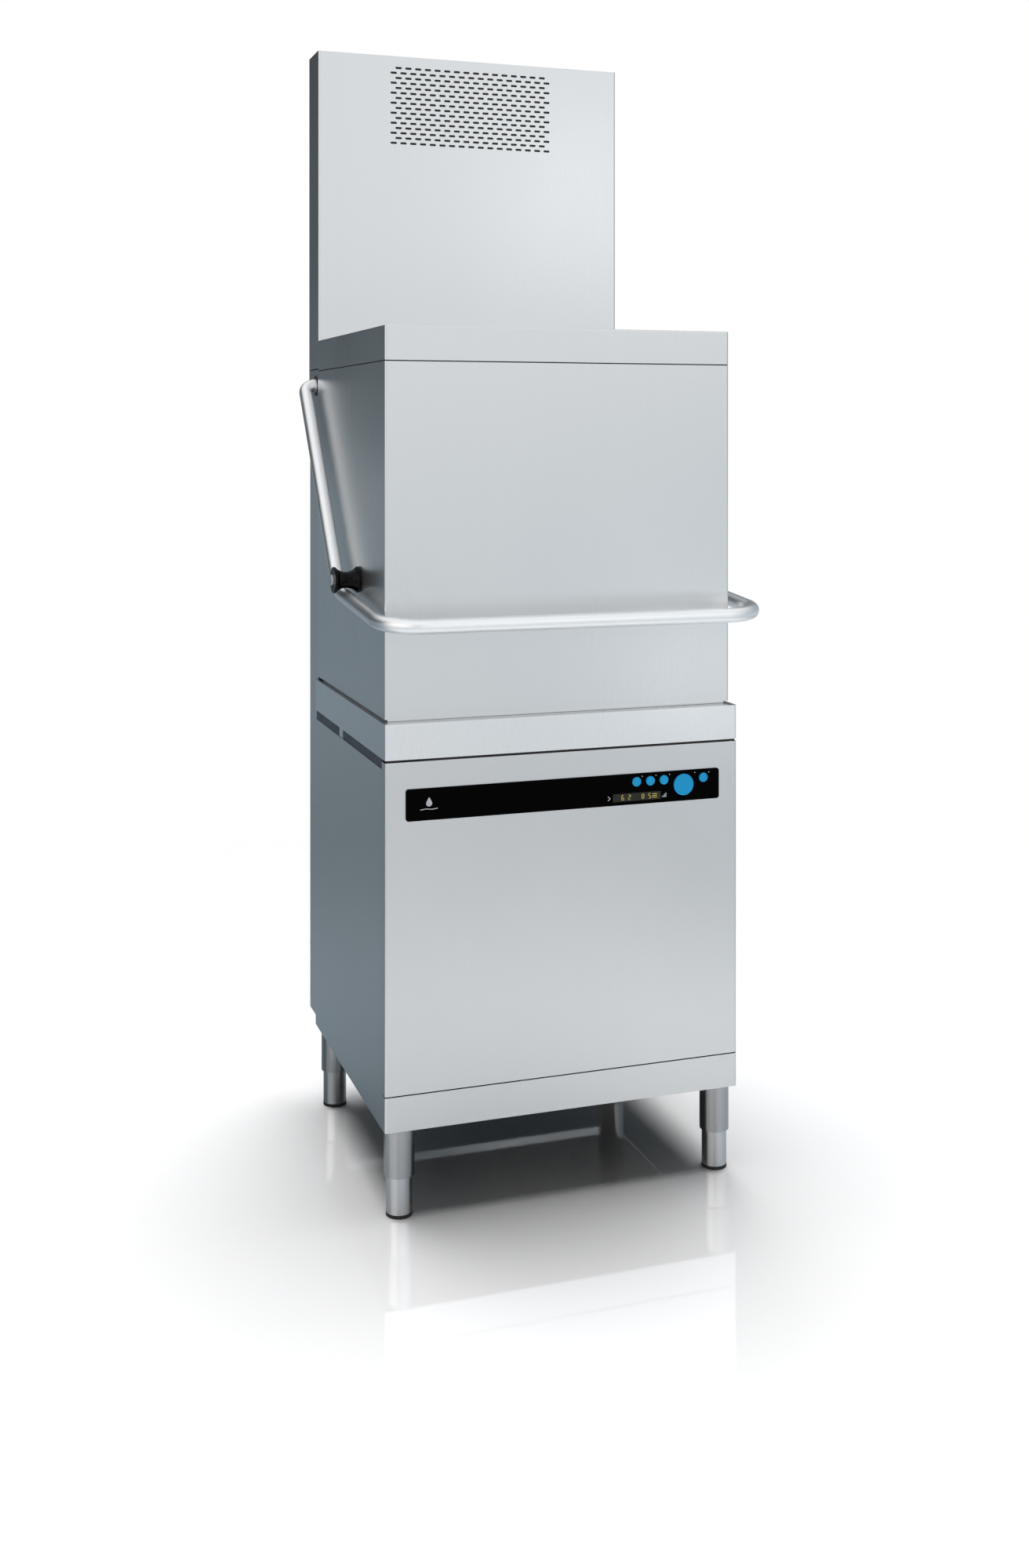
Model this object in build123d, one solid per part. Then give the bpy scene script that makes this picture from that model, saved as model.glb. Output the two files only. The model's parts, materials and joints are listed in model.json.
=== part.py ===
"""Hood-type (pass-through) commercial dishwasher, free-standing, with a vented rear column.

Millimetres. +Z up, front towards -Y, X = 0 on the symmetry plane. The origin is on the floor
under the centre of the overall footprint (handle bar front to column back).
"""
from build123d import *
from math import cos, radians, sin, tan
import os

# ---- driving dimensions -------------------------------------------------
WIDTH = 635.0            # cabinet over its side panels
DEPTH = 540.0            # cabinet front face to back
FRONT = -272.0           # cabinet front face
BACK = FRONT + DEPTH
SHEET = 1.5              # stainless sheet
EDGE_R = 4.0             # bent outer corners
UNDERSIDE = 146.0
KICK_TOP = 203.5
PANEL_LOW, PANEL_TOP = 205.5, 751.0
SIDE_TOP = 738.0
RIM_LOW, RIM_TOP = 755.0, 814.0
HALF = WIDTH / 2

HOOD_HALF = 312.5
HOOD_FRONT, HOOD_BACK = -251.0, 253.0
HOOD_LOW, HOOD_SEAM, HOOD_TOP = 818.5, 1411.0, 1470.0
SEAM = 1.1               # half the open joint between hood and cap
WING_BACK = 271.0        # the hood's sides and cap reach back almost to the column
LIP_INSET, LIP_LOW = 6.0, 806.0
HOOD_TRAVEL = 440.0      # lift of the hood, about the clear entry height
REAR_GAP = 295.0         # half width of the hood's open back

COL_HALF = 311.0
COL_FRONT, COL_BACK, COL_DEEP = 274.0, 350.0, 362.0
COL_LOW, COL_STEP, COL_SEAM, COL_TOP = 153.0, 1300.0, 1415.0, 2034.0
BAY_Y, BAY_TOP = 320.0, 420.0      # recessed connection bay in the lower back

VENT_ROWS, VENT_TOP, VENT_ROW_PITCH = 16, 2011.0, 9.87
VENT_PITCH, VENT_SLOT, VENT_SLOT_H = 20.0, 13.0, 4.4

STRIP_HALF, STRIP_LOW, STRIP_TOP = 282.5, 653.5, 706.5
STRIP_FACE = FRONT - 2.0
SMALL_BUTTONS = ((126.5, 692.5), (152.0, 692.5), (177.5, 692.5), (252.0, 692.0))
SMALL_R = 8.0
START_BUTTON, START_R = (214.5, 682.0), 18.5
DISPLAY_X, DISPLAY_Z = (83.0, 172.0), (659.5, 673.5)

LEG_X, LEG_YS = 286.5, (-245.0, 237.5)
SLEEVE_R, SLEEVE_BORE, SLEEVE_LOW = 25.5, 22.0, 67.3
FOOT_R, PAD_R, PAD_H = 21.6, 21.9, 6.0

TUBE_R, TUBE_WALL = 12.5, 1.5
ARM_X = 335.0            # centre of the handle's side arms
PIVOT_Y, PIVOT_Z = 288.0, 1383.0
KNEE_Y, KNEE_Z, KNEE_R = -12.0, 1010.0, 60.0
BAR_Y, BAR_Z, CORNER_R = -349.5, 981.0, 70.0
SPOOL_Y, SPOOL_Z = -70.0, 1035.0
SPOOL_R, WAIST_R, AXLE_R = 23.0, 14.0, 6.0
SPOOL_X = (313.2, 359.0)

RAIL_X, RAIL_Y = (268.0, 290.0), (306.0, 334.0)
CARRIAGE_Z = (835.0, 915.0)
SPRING_X, SPRING_Y, SPRING_R, WIRE_R = 250.0, 290.5, 10.5, 1.5
SPRING_Z = (925.0, 1950.0)

RISER_Y, RISER_R = 297.0, 18.0
LOWER_FEED, UPPER_FEED = 700.0, 1330.0
SPIGOT_R, PIN_R = 14.0, 8.0
RUN = 0.05               # running clearance on a radius


# ---- helpers ------------------------------------------------------------
def block(x, y, z):
    middle = Pos((x[0] + x[1]) / 2, (y[0] + y[1]) / 2, (z[0] + z[1]) / 2)
    return middle * Box(x[1] - x[0], y[1] - y[0], z[1] - z[0])


def column(x, y, z0, z1, r, bore=0.0):
    solid = Pos(x, y, (z0 + z1) / 2) * Cylinder(r, z1 - z0)
    if bore:
        solid -= Pos(x, y, (z0 + z1) / 2) * Cylinder(bore, z1 - z0 + 2)
    return solid


def along_x(y, z, x0, x1, r):
    return Pos((x0 + x1) / 2, y, z) * Rot(0, 90, 0) * Cylinder(r, abs(x1 - x0))


def along_y(x, z, y0, y1, r):
    return Pos(x, (y0 + y1) / 2, z) * Rot(90, 0, 0) * Cylinder(r, abs(y1 - y0))


def hexagon_y(x, z, y0, y1, r):
    face = Plane(origin=(x, y0, z), x_dir=(1, 0, 0), z_dir=(0, 1, 0)) * RegularPolygon(r, 6)
    return extrude(face, y1 - y0)


def slab(half, y0, y1, z0, z1, r):
    """A block centred in X with rounded vertical edges."""
    face = Pos(0, (y0 + y1) / 2, z0) * RectangleRounded(2 * half, y1 - y0, r)
    return extrude(face, z1 - z0)


def ring(half, y0, y1, z0, z1, t, r):
    """A rectangular wall of thickness t standing round the Z axis."""
    inner = max(r - t, 0.5)
    hole = slab(half - t, y0 + t, y1 - t, z0 - 1, z1 + 1, inner)
    return slab(half, y0, y1, z0, z1, r) - hole


def wrap(half, y0, y1, z0, z1):
    """A sheet bent round a front face and both sides, open at the back."""
    whole = ring(half, y0, y1 + 30, z0, z1, SHEET, EDGE_R)
    return whole - block((-half - 1, half + 1), (y1, y1 + 40), (z0 - 1, z1 + 1))


def mirrored(solid):
    return mirror(solid, about=Plane.YZ)


def both(solid):
    return Compound(children=[solid, mirrored(solid)])


def group(solids):
    return Compound(children=list(solids))


def bent_path(points, radii):
    """Straight runs joined by tangent arcs, one radius for each inner point."""
    points = [Vector(*p) for p in points]
    edges, start = [], points[0]
    for before, corner, after, r in zip(points, points[1:], points[2:], radii):
        a, b = (before - corner).normalized(), (after - corner).normalized()
        half_angle = radians(a.get_angle(b)) / 2
        reach = r / tan(half_angle)
        centre = corner + (a + b).normalized() * (r / sin(half_angle))
        middle = centre + (corner - centre).normalized() * r
        edges.append(Edge.make_line(start, corner + a * reach))
        edges.append(Edge.make_three_point_arc(corner + a * reach, middle, corner + b * reach))
        start = corner + b * reach
    edges.append(Edge.make_line(start, points[-1]))
    return Wire(edges)


def pipe(points, radii, r, bore=0.0):
    path = bent_path(points, radii)
    section = Plane(origin=path @ 0, z_dir=path % 0)
    solid = sweep(section * Circle(r), path=path)
    if bore:
        solid -= sweep(section * Circle(bore), path=path)
    return solid


# ---- cabinet ------------------------------------------------------------
def base_frame():
    floor = block((-314, 314), (FRONT + 3, BACK - 2), (UNDERSIDE + 0.5, UNDERSIDE + 2.5))
    tray = floor + ring(314, FRONT + 3, BACK - 2, UNDERSIDE + 0.5, 172, SHEET, 2)
    for x, y in leg_positions():
        tray += column(x, y, SLEEVE_LOW, UNDERSIDE + 0.5, SLEEVE_R, SLEEVE_BORE)
    return tray


def leg_positions():
    return [(side * LEG_X, y) for y in LEG_YS for side in (-1, 1)]


def foot_tube(x, y):
    tube = column(x, y, PAD_H, 120, FOOT_R, FOOT_R - 2.5)
    return tube + column(x, y, PAD_H, PAD_H + 4, FOOT_R - 1)


def foot_pad(x, y):
    pad = column(x, y, 0, PAD_H, PAD_R)
    return fillet(pad.edges().filter_by(GeomType.CIRCLE).sort_by(Axis.Z)[:1], 1.2)


def side_panel():
    y0, y1 = FRONT + 20.5, BACK
    sheet = block((HALF - SHEET, HALF), (y0, y1), (UNDERSIDE, SIDE_TOP))
    sheet += block((309.5, HALF), (y0, y1), (SIDE_TOP - SHEET, SIDE_TOP))
    sheet += block((300, HALF), (y0, y0 + SHEET), (UNDERSIDE + 30, SIDE_TOP))
    return sheet + block((303, HALF), (y1 - SHEET, y1), (UNDERSIDE + 30, SIDE_TOP))


def front_panel():
    sheet = wrap(HALF, FRONT, FRONT + 20, PANEL_LOW, PANEL_TOP)
    sheet += block((-300, 300), (FRONT + 1, FRONT + 10), (PANEL_TOP - SHEET, PANEL_TOP))
    sheet += block((-300, 300), (FRONT + 1, FRONT + 17), (PANEL_LOW, PANEL_LOW + SHEET))
    opening = block((-275, 275), (FRONT - 5, FRONT + 5), (STRIP_LOW + 3.5, STRIP_TOP - 3.5))
    return sheet - opening


def kick_panel():
    return wrap(HALF, FRONT, FRONT + 20, UNDERSIDE, KICK_TOP)


def rim_frame():
    skirt = ring(HALF, FRONT, BACK, RIM_LOW, RIM_TOP, SHEET, EDGE_R)
    skirt += ring(HALF, FRONT, BACK, RIM_LOW, RIM_LOW + SHEET, 12, EDGE_R)
    ledge = slab(HALF, FRONT, BACK, RIM_TOP - SHEET, RIM_TOP, EDGE_R)
    ledge -= slab(307.5, -247.5, 250.5, RIM_TOP - 5, RIM_TOP + 5, 2)
    gutter = ring(309, -249, 252, 792.5, RIM_TOP, SHEET, 3)
    gutter += ring(309, -249, 252, 792.5, 794, 19.5, 3)
    gutter += ring(291, -231, 234, 792.5, 806, SHEET, 3)
    inner = ring(306.5, FRONT + 11, BACK - 11, 740, RIM_LOW + SHEET, SHEET, 2)
    frame = skirt + ledge + gutter + inner
    for side in (1, -1):
        xs = sorted((side * 308, side * 316.5))
        frame += block(xs, (39, 65), (SIDE_TOP + 0.3, RIM_LOW + 1))
    return frame


def wash_tank():
    walls = ring(271.5, -211, 214, 600, 807.5, SHEET, 12)
    flange = slab(291, -231, 234, 806, 807.5, 3) - slab(271, -210.5, 213.5, 800, 812, 11.5)
    floor = slab(271.5, -211, 214, 600, 601.5, 12) - slab(88.5, -68.5, 68.5, 590, 610, 8)
    sump = ring(90, -70, 70, 500, 601.5, SHEET, 9.5) + slab(90, -70, 70, 500, 501.5, 9.5)
    ledge = ring(271, -210.5, 213.5, 768.5, 770, 9, 11.5)
    tank = walls + flange + floor + sump + ledge
    tank -= along_y(0, LOWER_FEED, 200, 230, RISER_R + 0.3)
    tank -= column(0, 0, 490, 510, 18)
    return tank - column(-68, 36, 490, 510, 12.5)


def strainer():
    plate = slab(268.5, -208, 211, 770, 771.5, 12) & block((3, 270), (-220, 220), (760, 780))
    plate -= column(0, 0, 760, 780, 30)
    slots = [(40 + 38 * i, -180 + 24 * j) for i in range(6) for j in range(16)]
    slots = [(x, y) for x, y in slots if x * x + y * y > 62 ** 2]
    cut = Sketch() + [Pos(x + 6, y, 765) * SlotOverall(28, 6) for x, y in slots]
    return plate - extrude(cut, 12) + block((250, 266), (-8, 8), (771.5, 774))


def pump_filter():
    basket = column(0, 0, 503, 660, 54) - column(0, 0, 505, 670, 52.5)
    basket += column(0, 0, 654, 660, 58, 52)
    for i in range(12):
        for level in (540, 600):
            slot = Pos(54, 0, level) * Box(20, 8, 40)
            basket -= Rot(0, 0, 30 * i) * slot
    standpipe = column(-68, 36, 503, 755, 12) + column(-68, 36, 751, 755, 15)
    basket += block((-66, -48), (26, 38), (654, 657)) + standpipe
    return basket - column(-68, 36, 500, 760, 10)


def rack_guide():
    guide = along_x(-205, 830, -285, 285, 4) + along_x(208, 830, -285, 285, 4)
    for x in (-255, 255):
        guide += along_y(x, 823, -219, 222, 4)
        for y in (-219, 222):
            guide += column(x, y, 807.5, 823, 4)
    return guide


# ---- rear column --------------------------------------------------------
def chamber_rear_wall():
    wall = block((-298, 298), (258, 259.5), (RIM_TOP, 1400))
    for x in ((-298, -296.5), (296.5, 298)):
        wall += block(x, (258, COL_FRONT), (RIM_TOP + 1.5, 1400))
    wall += block((-298, 298), (258, COL_FRONT), (1398.5, 1400))
    return wall - along_y(0, UPPER_FEED, 250, 280, RISER_R + 0.3)


def column_lower_front():
    full = COL_HALF - SHEET
    sheet = block((-298.5, 298.5), (COL_FRONT, COL_FRONT + SHEET), (RIM_TOP, COL_SEAM - 1))
    sheet += block((-full, full), (COL_FRONT, COL_FRONT + SHEET), (1368, COL_SEAM - 1))
    sheet += block((-298.5, 298.5), (262, COL_FRONT + 1), (RIM_TOP, RIM_TOP + SHEET))
    return sheet - along_y(0, UPPER_FEED, 270, 280, RISER_R + 0.3)


def column_side():
    x0, x1 = COL_HALF - SHEET, COL_HALF
    sheet = block((x0, x1), (COL_FRONT, COL_BACK), (COL_LOW, COL_SEAM - 1))
    sheet += block((299, x1), (COL_FRONT, COL_FRONT + SHEET), (COL_LOW, RIM_TOP - 2))
    sheet += block((282, x1), (347, 348.5), (BAY_TOP + 2, COL_SEAM - 1))
    sheet -= along_x(PIVOT_Y, PIVOT_Z, 300, 320, 17)
    return sheet - group(screw_shanks())


def column_front_panel():
    sheet = wrap(COL_HALF, COL_FRONT, COL_BACK, COL_SEAM + 1, COL_TOP)
    sheet += block((-296, 296), (COL_FRONT + 1, 277.5), (COL_SEAM + 1, COL_SEAM + 2.5))
    slots = Sketch()
    for row in range(VENT_ROWS):
        count = 17 if row % 2 else 16
        z = VENT_TOP - row * VENT_ROW_PITCH
        for i in range(count):
            x = (i - (count - 1) / 2) * VENT_PITCH
            slots += Pos(x, z) * SlotOverall(VENT_SLOT, VENT_SLOT_H)
    face = Plane(origin=(0, COL_FRONT - 2, 0), x_dir=(1, 0, 0), z_dir=(0, -1, 0)) * slots
    return sheet - extrude(face, -6)


def column_rear_upper():
    y0 = COL_BACK + 0.5
    whole = ring(COL_HALF, y0 - 30, COL_DEEP, COL_STEP, COL_TOP, SHEET, EDGE_R)
    tray = whole - block((-320, 320), (y0 - 40, y0), (COL_STEP - 1, COL_TOP + 1))
    return tray + block((-309, 309), (y0, COL_DEEP - 1), (COL_STEP, COL_STEP + SHEET))


def column_rear_lower():
    edge = COL_HALF - SHEET - 0.2
    cover = block((-edge, edge), (COL_BACK - SHEET, COL_BACK), (BAY_TOP - SHEET, COL_STEP - 1))
    cover += block((-edge, edge), (BAY_Y - SHEET, COL_BACK), (BAY_TOP - SHEET, BAY_TOP))
    cover += block((-edge, edge), (BAY_Y - SHEET, BAY_Y), (COL_LOW + 2, BAY_TOP))
    cover += block((-edge, edge), (277, BAY_Y), (COL_LOW + 2, COL_LOW + 3.5))
    cover -= along_y(-68, 230, 310, 330, 14)
    cover -= along_y(60, 230, 310, 330, 13.2)
    cover -= along_y(180, 230, 310, 330, 12)
    return cover - group(screw_shanks())


def column_top_cap():
    cap = slab(309.2, COL_FRONT + 1.8, COL_DEEP - 1.8, COL_TOP - SHEET, COL_TOP, 2.2)
    return cap + ring(309.2, COL_FRONT + 1.8, COL_DEEP - 1.8, 2014, COL_TOP, SHEET, 2.2)


def screw_sites():
    return [(side * 294, z) for z in (480, 680, 880, 1080, 1270) for side in (-1, 1)]


def screw_shanks():
    return [along_y(x, z, 338, COL_BACK, 2.5) for x, z in screw_sites()]


def cover_screws():
    screws = []
    for x, z in screw_sites():
        head = along_y(x, z, COL_BACK, COL_BACK + 2.5, 4.6)
        head -= Pos(x, COL_BACK + 2.5, z) * (Box(6, 2, 1.2) + Box(1.2, 2, 6))
        screws.append(head + along_y(x, z, 338, COL_BACK, 2.5))
    return group(screws)


def hood_rail():
    x0, x1 = RAIL_X
    rail = block(RAIL_X, RAIL_Y, (830, 1980))
    rail -= block((x0 + 2, x1 + 1), (RAIL_Y[0] + 2, RAIL_Y[1] - 2), (820, 1990))
    for z in (838, 1382):
        rail += block((272, 286), (COL_FRONT + SHEET, RAIL_Y[0]), (z, z + 12))
    rail += block((SPRING_X - 12, x1), (SPRING_Y - 8, RAIL_Y[1]), (1966, 1972))
    return rail - column(SPRING_X, SPRING_Y, 1960, 1980, 3)


def pivot_bush():
    bush = along_x(PIVOT_Y, PIVOT_Z, 297, 313.5, 17)
    bush += along_x(PIVOT_Y, PIVOT_Z, COL_HALF, 313.5, 20)
    bush += along_x(PIVOT_Y, PIVOT_Z, 302, COL_HALF - SHEET, 20)
    bore = along_x(PIVOT_Y, PIVOT_Z, 290, 320, TUBE_R + RUN)
    return bush - bore & block((280, 320), (COL_FRONT + SHEET, 340), (1300, 1500))


# ---- wash, rinse and exhaust --------------------------------------------
def wash_riser():
    top = [(0, 66, 325), (0, RISER_Y, 325), (0, RISER_Y, UPPER_FEED), (0, 0, UPPER_FEED), (0, 0, 1300)]
    low = [(0, RISER_Y, LOWER_FEED), (0, 0, LOWER_FEED), (0, 0, 775)]
    bends = (30, 21, 28)
    riser = pipe(top, bends, RISER_R) + pipe(low, (40,), RISER_R)
    riser = riser - pipe(top, bends, RISER_R - 2) - pipe(low, (40,), RISER_R - 2)
    lower = ((772, 776, 19), (775, 800, SPIGOT_R), (799, 822, PIN_R), (822, 825, 11))
    upper = ((1299, 1303, 19), (1276, 1300, SPIGOT_R), (1257, 1277, PIN_R), (1254, 1257, 11))
    for z0, z1, r in lower + upper:
        riser += column(0, 0, z0, z1, r)
    return riser


def wash_arm(z, nozzle, reach):
    """Flat two-bladed arm; nozzle is +1 for jets upwards, -1 for jets downwards."""
    arm = slab(25, -25, 25, z - 10, z + 10, 24.9)
    blade = extrude(Pos(0, 0, z - 6) * SlotOverall(2 * reach, 42), 12)
    arm = arm + fillet(blade.edges().group_by(Axis.Z)[0], 3)
    for x in range(60, int(reach) - 15, 40):
        for side in (-1, 1):
            y = side * 8 * (1 if x % 80 == 60 else -1)
            arm -= Pos(side * x, y, z + nozzle * 6) * Box(14, 3, 6)
    return arm - column(0, 0, z - 20, z + 20, SPIGOT_R + RUN)


def rinse_arm(z, nozzle, reach):
    arm = column(0, 0, z - 7, z + 7, 18) + along_x(0, z, -reach, reach, 6)
    for share in (-0.92, -0.72, -0.5, 0.32, 0.59, 0.83):
        arm += column(share * reach, 0, *sorted((z, z + nozzle * 9)), 3.5)
    arm = Rot(0, 0, 62) * arm
    return arm - column(0, 0, z - 20, z + 20, PIN_R + RUN)


def wash_pump():
    motor = column(0, 0, 172, 300, 60)
    motor += column(0, 0, 166, 172, 66)
    for i in range(12):
        motor += Rot(0, 0, 30 * i) * block((58, 66), (-2, 2), (185, 285))
    volute = column(0, 0, 300, 350, 66) + along_y(0, 325, 40, 66, 22)
    feet = block((-80, -50), (-15, 15), (148.5, 172)) + block((50, 80), (-15, 15), (148.5, 172))
    inlet = column(0, 0, 350, 500, 21) + column(0, 0, 492, 500, 30)
    pump = motor + volute + inlet + feet
    pump -= column(0, 0, 340, 510, 18)
    return pump - along_y(0, 325, 30, 70, 16)


def rinse_boiler():
    shell = domed(-195, 80, 190, 470, 98, 22)
    shell += column(-195, 80, 148.5, 195, 60, 52) + block((-225, -165), (-30, -5), (230, 300))
    shell += column(-195, 80, 465, 500, 12) + column(-240, 80, 465, 490, 9)
    points = [(-195, 80, 460), (-195, 80, 545), (-195, 300, 545), (-195, 300, 1350), (-40, 300, 1350)]
    shell += pipe(points, (25, 25, 25), 8)
    return shell - domed(-195, 80, 192, 468, 96, 20) - pipe(points, (25, 25, 25), 6.5)


def domed(x, y, z0, z1, r, edge):
    return fillet(column(x, y, z0, z1, r).edges().filter_by(GeomType.CIRCLE), edge)


def rinse_pump():
    body = along_x(130, 215, 130, 250, 42) + along_x(130, 215, 108, 130, 34)
    body += along_x(130, 215, 250, 262, 30) + column(120, 130, 215, 290, 9)
    return body + block((160, 220), (95, 165), (148.5, 185))


def tank_heater():
    points = [(-240, 212.5, 650), (-240, -180, 650), (240, -180, 650), (240, 212.5, 650)]
    rod = pipe(points, (40, 40), 4.5)
    for x in (-240, 240):
        rod += along_y(x, 650, 206, 212.5, 12)
    return rod


def heat_exchanger():
    core = block((-215, 215), (286, 288), (1475, 1800)) + block((-215, 215), (336, 338), (1475, 1800))
    for x in range(-210, 211, 20):
        core += block((x - 0.6, x + 0.6), (286, 338), (1475, 1800))
    for i in range(7):
        core += along_x(312, 1500 + 46 * i, -222, 222, 7)
    for x in ((-230, -215), (215, 230)):
        core += block(x, (290, 334), (1480, 1795))
    return core


def fan_housing():
    case = block((-82, 82), (292, 336), (1853, 2013)) - along_y(0, 1933, 290, 340, 75)
    for i in range(3):
        spoke = Pos(0, 334, 1933) * Rot(0, 120 * i, 0) * Pos(40, 0, 0) * Box(74, 4, 8)
        case += spoke
    case += along_y(0, 1933, 316, 336, 28) + along_y(0, 1933, 298, 317, 4)
    for z in ((1845, 1853), (2013, 2014)):
        case += block((-70, 70), (COL_FRONT + SHEET, 336), z)
    return case


def fan_impeller():
    hub = along_y(0, 1933, 297, 314, 30) - along_y(0, 1933, 303, 315, 27)
    hub += along_y(0, 1933, 299, 312, 9)
    blades = Part()
    for i in range(7):
        blade = Pos(49, 306, 0) * Rot(32, 0, 0) * Box(46, 1.6, 26)
        blades += Pos(0, 0, 1933) * Rot(0, 360 / 7 * i, 0) * blade
    blades = blades & along_y(0, 1933, 296, 315, 72.5)
    return hub + blades - along_y(0, 1933, 290, 320, 4 + RUN)


# ---- services -----------------------------------------------------------
def drain_spigot():
    points = [(-68, 36, 500), (-68, 36, 420), (-68, 300, 420), (-68, 300, 230), (-68, 358, 230)]
    bends = (28, 28, 18)
    collar = along_y(-68, 230, BAY_Y, BAY_Y + 4, 19)
    return pipe(points, bends, 14) + collar - pipe(points, bends, 12)


def water_inlet():
    body = along_y(60, 230, 290, 358, 13.2) + hexagon_y(60, 230, BAY_Y, 328, 19)
    body += block((40, 80), (286, 316), (205, 262)) + column(60, 300, 262, 290, 11)
    return body - along_y(60, 230, 300, 360, 8)


def cable_gland():
    body = along_y(180, 230, 306, 344, 12) + hexagon_y(180, 230, BAY_Y, 326, 16.5)
    body += hexagon_y(180, 230, 332, 348, 15.5) + hexagon_y(180, 230, 312, BAY_Y - SHEET, 16.5)
    return body - along_y(180, 230, 300, 350, 7.5)


# ---- controls -----------------------------------------------------------
def strip_face(thickness):
    plane = Plane(origin=(0, FRONT, 0), x_dir=(1, 0, 0), z_dir=(0, -1, 0))
    height = STRIP_TOP - STRIP_LOW
    outline = Pos(0, (STRIP_LOW + STRIP_TOP) / 2) * RectangleRounded(2 * STRIP_HALF, height, 5)
    return extrude(plane * outline, thickness)


def control_strip():
    strip = strip_face(FRONT - STRIP_FACE)
    strip = fillet(strip.faces().sort_by(Axis.Y)[0].edges(), 0.6)
    for x, z in SMALL_BUTTONS:
        strip -= along_y(x, z, FRONT - 5, FRONT + 5, SMALL_R + 0.3)
    strip -= along_y(*START_BUTTON, FRONT - 5, FRONT + 5, START_R + 0.3)
    return strip - block(DISPLAY_X, (FRONT - 5, FRONT + 5), DISPLAY_Z)


def display_window():
    x = (DISPLAY_X[0] + 0.1, DISPLAY_X[1] - 0.1)
    z = (DISPLAY_Z[0] + 0.1, DISPLAY_Z[1] - 0.1)
    return block(x, (STRIP_FACE + 0.3, FRONT + 1.0), z)


def button(x, z, r, flange):
    cap = along_y(x, z, STRIP_FACE - 2.2, FRONT + 3, r)
    cap = fillet(cap.edges().filter_by(GeomType.CIRCLE).sort_by(Axis.Y)[:1], 0.9)
    cap += along_y(x, z, FRONT + 0.4, FRONT + 2, r + flange)
    return cap + along_y(x, z, FRONT + 2, FRONT + 6, 2.5)


def control_board():
    board = block((70, 272), (-262, -260.4), (656.8, 703))
    board += block((84, 171), (-270, -262), (659, 674))
    for x, z in SMALL_BUTTONS + (START_BUTTON,):
        board += block((x - 3.5, x + 3.5), (-263.5, -260.4), (z - 3.5, z + 3.5))
    for x in (72.5, 269.5):
        for z in (659.2, 700.6):
            board += along_y(x, z, -270.5, -260, 2.2)
    return board


# ---- hood ---------------------------------------------------------------
def hood_shell():
    top = HOOD_SEAM - SEAM
    walls = ring(HOOD_HALF, HOOD_FRONT, HOOD_BACK, HOOD_LOW, top, SHEET, EDGE_R)
    walls += ring(HOOD_HALF, HOOD_FRONT, HOOD_BACK, HOOD_LOW, HOOD_LOW + SHEET, 7.5, EDGE_R)
    lip = HOOD_HALF - LIP_INSET
    walls += ring(lip, HOOD_FRONT + 6, HOOD_BACK - 6, LIP_LOW, HOOD_LOW + SHEET, SHEET, 3)
    inner = HOOD_HALF - SHEET
    walls += ring(inner, HOOD_FRONT + SHEET, HOOD_BACK - SHEET, 1396, 1426, SHEET, 2.5)
    walls -= block((-REAR_GAP, REAR_GAP), (200, 260), (800, top))
    for side in (-1, 1):
        x = side * HOOD_HALF
        walls += block(sorted((x, x - side * SHEET)), (HOOD_BACK - 10, WING_BACK), (HOOD_LOW, top))
        walls -= along_x(SPOOL_Y, SPOOL_Z, x - 5, x + 5, AXLE_R)
    return walls


def hood_cap():
    outer = slab(HOOD_HALF, HOOD_FRONT, WING_BACK, HOOD_SEAM + SEAM, HOOD_TOP, EDGE_R)
    outer = fillet(outer.edges().group_by(Axis.Z)[-1], 2.5)
    t = SHEET
    hollow = slab(HOOD_HALF - t, HOOD_FRONT + t, WING_BACK - t, 1400, HOOD_TOP - t, EDGE_R - t)
    return outer - fillet(hollow.edges().group_by(Axis.Z)[-1], 1.2)


def hood_carriage():
    plate = block((299.5, 308), (HOOD_BACK, 256), CARRIAGE_Z)
    plate += block((303, 308), (HOOD_BACK, 334), CARRIAGE_Z)
    plate += block((SPRING_X - 12, 305), (286, 295), (903, 915))
    for z in (850, 900):
        plate += along_x(320, z, 276, 304, 4)
    return plate - column(SPRING_X, SPRING_Y, 900, 920, 3)


def glide_shoes():
    shoes = []
    for z in (850, 900):
        shoe = block((272, 288), (308.3, 331.7), (z - 13, z + 13))
        shoe -= along_x(320, z, 276, 290, 4)
        shoes += [shoe, mirrored(shoe)]
    return group(shoes)


def spool_axle():
    axle = along_x(SPOOL_Y, SPOOL_Z, 306, 360, AXLE_R)
    axle += along_x(SPOOL_Y, SPOOL_Z, 359.5, 363.5, 10)
    axle += along_x(SPOOL_Y, SPOOL_Z, HOOD_HALF, 312.9, 9)
    nut = Plane(origin=(305, SPOOL_Y, SPOOL_Z), z_dir=(1, 0, 0)) * RegularPolygon(11, 6)
    return axle + extrude(nut, 6)


def spool():
    x0, x1 = SPOOL_X
    middle = (x0 + x1) / 2
    outline = Polyline((x0, AXLE_R + RUN), (x0, SPOOL_R), (x0 + 4, SPOOL_R))
    throat = ThreePointArc((x0 + 4, SPOOL_R), (middle, WAIST_R), (x1 - 4, SPOOL_R))
    close = Polyline((x1 - 4, SPOOL_R), (x1, SPOOL_R), (x1, AXLE_R + RUN), (x0, AXLE_R + RUN))
    face = make_face(outline + throat + close)
    body = Pos(0, SPOOL_Y, SPOOL_Z) * revolve(face, axis=Axis.X)
    rims = body.edges().filter_by(GeomType.CIRCLE).filter_by(lambda e: e.radius > SPOOL_R - 0.1)
    return fillet(rims, 1.2)


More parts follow.
